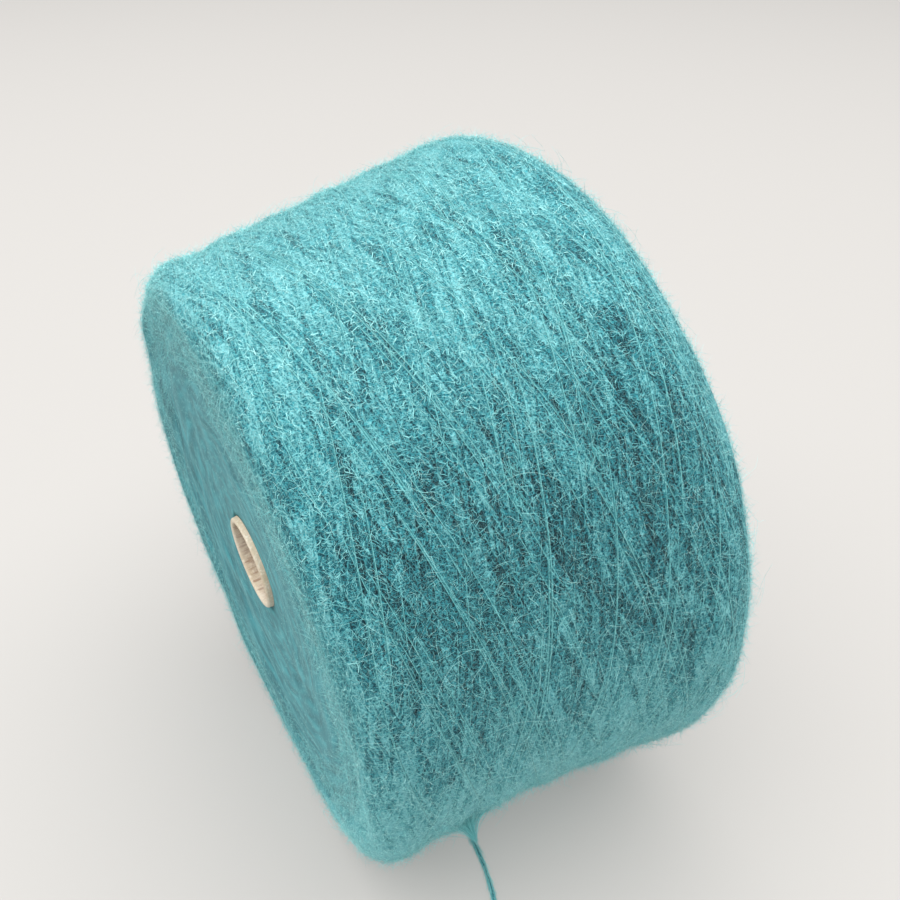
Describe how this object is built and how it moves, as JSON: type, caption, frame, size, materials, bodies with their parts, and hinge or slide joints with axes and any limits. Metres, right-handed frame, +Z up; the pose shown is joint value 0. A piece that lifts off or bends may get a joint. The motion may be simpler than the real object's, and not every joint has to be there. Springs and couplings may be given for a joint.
{
  "type": "yarn cone",
  "caption": "Package of brushed fluffy yarn cross-wound on a paper cone, lying on its side with its free end loose on the table; feeds a knitting machine or creel.",
  "frame": {"origin": "on the table under the middle of the package's box, leaving out the free end of the yarn", "axes": "+X along the table from the cone's nose to its base, +Y across the package, +Z up; the cone's own axis rises from +X by its half angle"},
  "size_m": [0.1591, 0.2167, 0.2138],
  "materials": {
    "board": "rolled kraft board, matte, with a fine lengthwise grain",
    "cover": "pale uncoated paper, matte",
    "yarn": "brushed mohair-type yarn, matte with a soft halo"
  },
  "bodies": {
    "root": {"cone_board": "board", "cone_cover": "cover", "yarn_package": "yarn", "yarn_tail": "yarn"}
  },
  "joints": []
}
